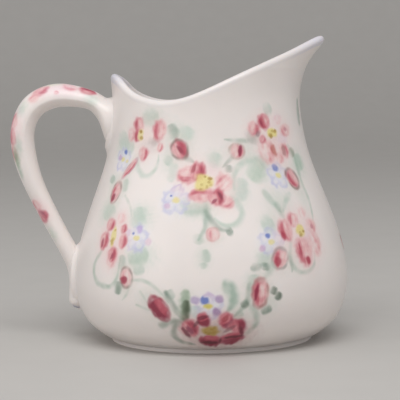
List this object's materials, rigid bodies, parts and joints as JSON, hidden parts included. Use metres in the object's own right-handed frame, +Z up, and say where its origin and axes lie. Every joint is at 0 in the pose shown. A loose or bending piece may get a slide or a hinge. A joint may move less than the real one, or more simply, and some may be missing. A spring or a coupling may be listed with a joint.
{
  "type": "cream jug",
  "caption": "Porcelain cream jug with a rounded belly, pulled-out spout, raised back rim and loop handle, painted with flower sprigs.",
  "frame": {"origin": "centre of the foot ring, on the table it stands on", "axes": "+Z up out of the mouth, +X toward the spout, so the handle is on -X"},
  "size_m": [0.1048, 0.0852, 0.0954],
  "materials": {
    "painted_body": "white porcelain with a clear satin-bright glaze over painted flowers",
    "painted_handle": "white glazed porcelain with small painted buds along the back of the strap",
    "foot_porcelain": "glazed porcelain, wiped bare and slightly rough where it stands",
    "joint_porcelain": "white porcelain slip under the same clear glaze"
  },
  "bodies": {
    "root": {"body": "painted_body", "foot_ring": "foot_porcelain", "handle": "painted_handle", "upper_joint_slip": "joint_porcelain", "lower_joint_slip": "joint_porcelain"}
  },
  "joints": []
}
